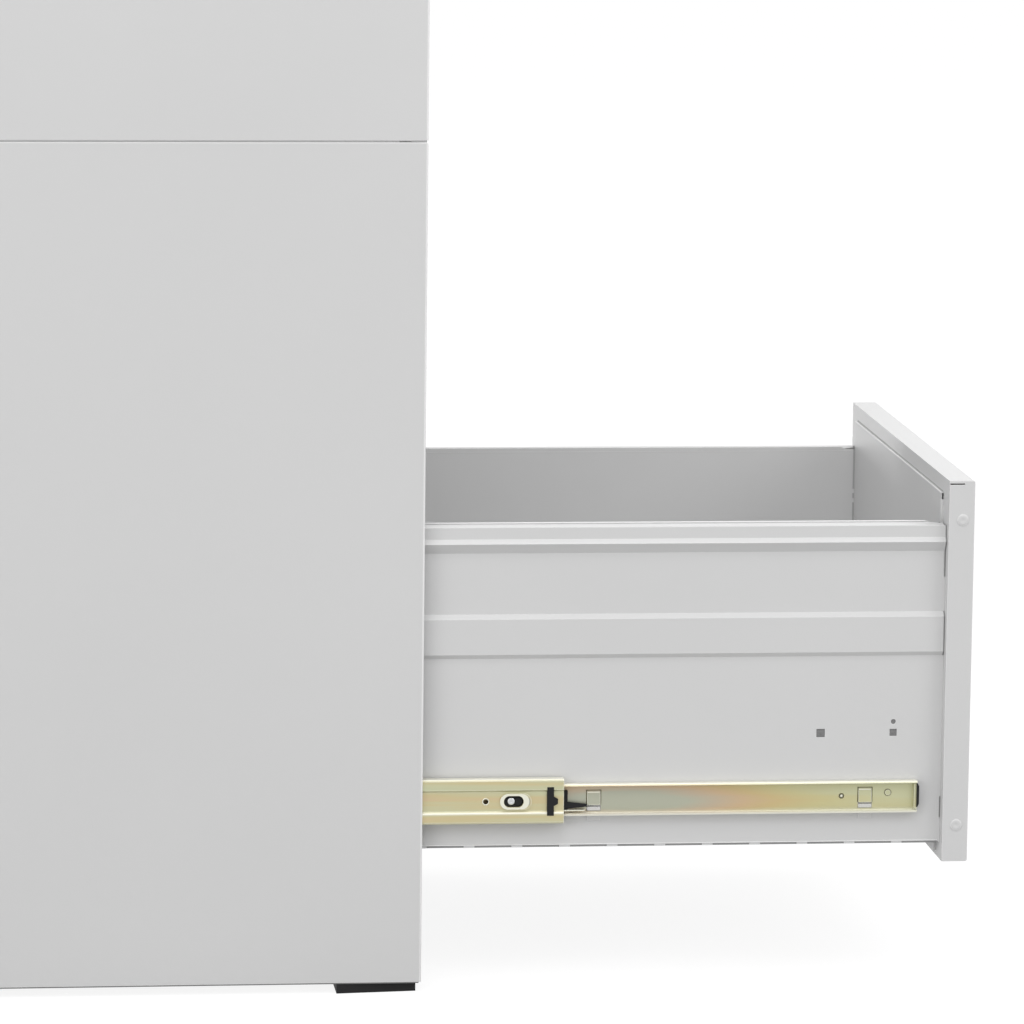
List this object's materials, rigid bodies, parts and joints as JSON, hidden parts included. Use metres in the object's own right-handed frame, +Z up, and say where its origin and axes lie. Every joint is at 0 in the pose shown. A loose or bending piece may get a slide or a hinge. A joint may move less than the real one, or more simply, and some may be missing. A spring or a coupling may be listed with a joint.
{
  "type": "filing cabinet",
  "caption": "Upright steel filing cabinet with inset drawer fronts on ball-bearing rails, the lowest drawer drawn out, a lock at the top right and black floor pads.",
  "frame": {"origin": "Middle of the floor rectangle that the cabinet and its open lowest drawer cover, on the floor under the pads.", "axes": "+Z up, the drawers open towards -Y, +X is the side where the lock is."},
  "size_m": [0.46, 1.049, 1.33],
  "materials": {
    "light_grey_paint": "satin powder coat",
    "chromated_steel": "yellow zinc chromate",
    "zinc_steel": "bright zinc",
    "black_plastic": "matt",
    "grey_plastic": "matt",
    "chrome": "polished"
  },
  "bodies": {
    "cabinet": {"side_lower_left": "light_grey_paint", "side_lower_right": "light_grey_paint", "side_upper_left": "light_grey_paint", "side_upper_right": "light_grey_paint", "top_panel": "light_grey_paint", "base_pan": "light_grey_paint", "cross_rails": "light_grey_paint", "back_lower": "light_grey_paint", "back_upper": "light_grey_paint", "foot_pads": "black_plastic", "panel_screws": "zinc_steel", "cabinet_rails": "chromated_steel", "lock_housing": "chrome"},
    "lock_plug": {"lock_rod": "chrome"},
    "lock_slide_bar": {"lock_bar": "zinc_steel", "lock_hooks": "zinc_steel"},
    "drawer_1_middle": {"drawer_1_middle_rails": "chromated_steel", "drawer_1_stop_bumpers": "black_plastic"},
    "drawer_1": {"drawer_1_front": "light_grey_paint", "drawer_1_front_liner": "light_grey_paint", "drawer_1_handle": "grey_plastic", "drawer_1_left_wall": "light_grey_paint", "drawer_1_right_wall": "light_grey_paint", "drawer_1_back_wall": "light_grey_paint", "drawer_1_floor": "light_grey_paint", "drawer_1_drawer_rails": "chromated_steel"},
    "drawer_1_levers": {"drawer_1_release_levers": "black_plastic"},
    "drawer_2_middle": {"drawer_2_middle_rails": "chromated_steel", "drawer_2_stop_bumpers": "black_plastic"},
    "drawer_2": {"drawer_2_front": "light_grey_paint", "drawer_2_front_liner": "light_grey_paint", "drawer_2_handle": "grey_plastic", "drawer_2_left_wall": "light_grey_paint", "drawer_2_right_wall": "light_grey_paint", "drawer_2_back_wall": "light_grey_paint", "drawer_2_floor": "light_grey_paint", "drawer_2_drawer_rails": "chromated_steel"},
    "drawer_2_levers": {"drawer_2_release_levers": "black_plastic"},
    "drawer_3_middle": {"drawer_3_middle_rails": "chromated_steel", "drawer_3_stop_bumpers": "black_plastic"},
    "drawer_3": {"drawer_3_front": "light_grey_paint", "drawer_3_front_liner": "light_grey_paint", "drawer_3_handle": "grey_plastic", "drawer_3_left_wall": "light_grey_paint", "drawer_3_right_wall": "light_grey_paint", "drawer_3_back_wall": "light_grey_paint", "drawer_3_floor": "light_grey_paint", "drawer_3_drawer_rails": "chromated_steel"},
    "drawer_3_levers": {"drawer_3_release_levers": "black_plastic"},
    "drawer_4_middle": {"drawer_4_middle_rails": "chromated_steel", "drawer_4_stop_bumpers": "black_plastic"},
    "drawer_4": {"drawer_4_front": "light_grey_paint", "drawer_4_front_liner": "light_grey_paint", "drawer_4_handle": "grey_plastic", "drawer_4_left_wall": "light_grey_paint", "drawer_4_right_wall": "light_grey_paint", "drawer_4_back_wall": "light_grey_paint", "drawer_4_floor": "light_grey_paint", "drawer_4_drawer_rails": "chromated_steel"},
    "drawer_4_levers": {"drawer_4_release_levers": "black_plastic"}
  },
  "joints": [
    {"name": "drawer_1_middle_slide", "type": "slide", "parent": "cabinet", "child": "drawer_1_middle", "axis": [0, -1, 0], "range_m": [-0.1505, 0.128]},
    {"name": "drawer_1_slide", "type": "slide", "parent": "drawer_1_middle", "child": "drawer_1", "axis": [0, -1, 0], "range_m": [-0.277, 0.0015]},
    {"name": "drawer_1_lever_press", "type": "hinge", "parent": "drawer_1", "child": "drawer_1_levers", "pos_m": [0, -0.2082, 0.149], "axis": [1, 0, 0], "range_deg": [-7, 7], "stiffness_Nm_per_rad": 0.004},
    {"name": "drawer_2_middle_slide", "type": "slide", "parent": "cabinet", "child": "drawer_2_middle", "axis": [0, -1, 0], "range_m": [0, 0.2785]},
    {"name": "drawer_2_slide", "type": "slide", "parent": "drawer_2_middle", "child": "drawer_2", "axis": [0, -1, 0], "range_m": [0, 0.2785]},
    {"name": "drawer_2_lever_press", "type": "hinge", "parent": "drawer_2", "child": "drawer_2_levers", "pos_m": [0, 0.2193, 0.4515], "axis": [1, 0, 0], "range_deg": [-7, 7], "stiffness_Nm_per_rad": 0.004},
    {"name": "drawer_3_middle_slide", "type": "slide", "parent": "cabinet", "child": "drawer_3_middle", "axis": [0, -1, 0], "range_m": [0, 0.2785]},
    {"name": "drawer_3_slide", "type": "slide", "parent": "drawer_3_middle", "child": "drawer_3", "axis": [0, -1, 0], "range_m": [0, 0.2785]},
    {"name": "drawer_3_lever_press", "type": "hinge", "parent": "drawer_3", "child": "drawer_3_levers", "pos_m": [0, 0.2193, 0.754], "axis": [1, 0, 0], "range_deg": [-7, 7], "stiffness_Nm_per_rad": 0.004},
    {"name": "drawer_4_middle_slide", "type": "slide", "parent": "cabinet", "child": "drawer_4_middle", "axis": [0, -1, 0], "range_m": [0, 0.2785]},
    {"name": "drawer_4_slide", "type": "slide", "parent": "drawer_4_middle", "child": "drawer_4", "axis": [0, -1, 0], "range_m": [0, 0.2785]},
    {"name": "drawer_4_lever_press", "type": "hinge", "parent": "drawer_4", "child": "drawer_4_levers", "pos_m": [0, 0.2193, 1.0565], "axis": [1, 0, 0], "range_deg": [-7, 7], "stiffness_Nm_per_rad": 0.004},
    {"name": "lock_turn", "type": "hinge", "parent": "cabinet", "child": "lock_plug", "pos_m": [0.2, -0.0955, 1.318], "axis": [0, -1, 0], "range_deg": [0, 90]},
    {"name": "lock_bar_drop", "type": "slide", "parent": "cabinet", "child": "lock_slide_bar", "axis": [0, 0, -1], "range_m": [0, 0.01131]}
  ],
  "couplings": [
    {"joint": "lock_turn", "follows": "lock_bar_drop", "rad_per_m": 138.83}
  ]
}
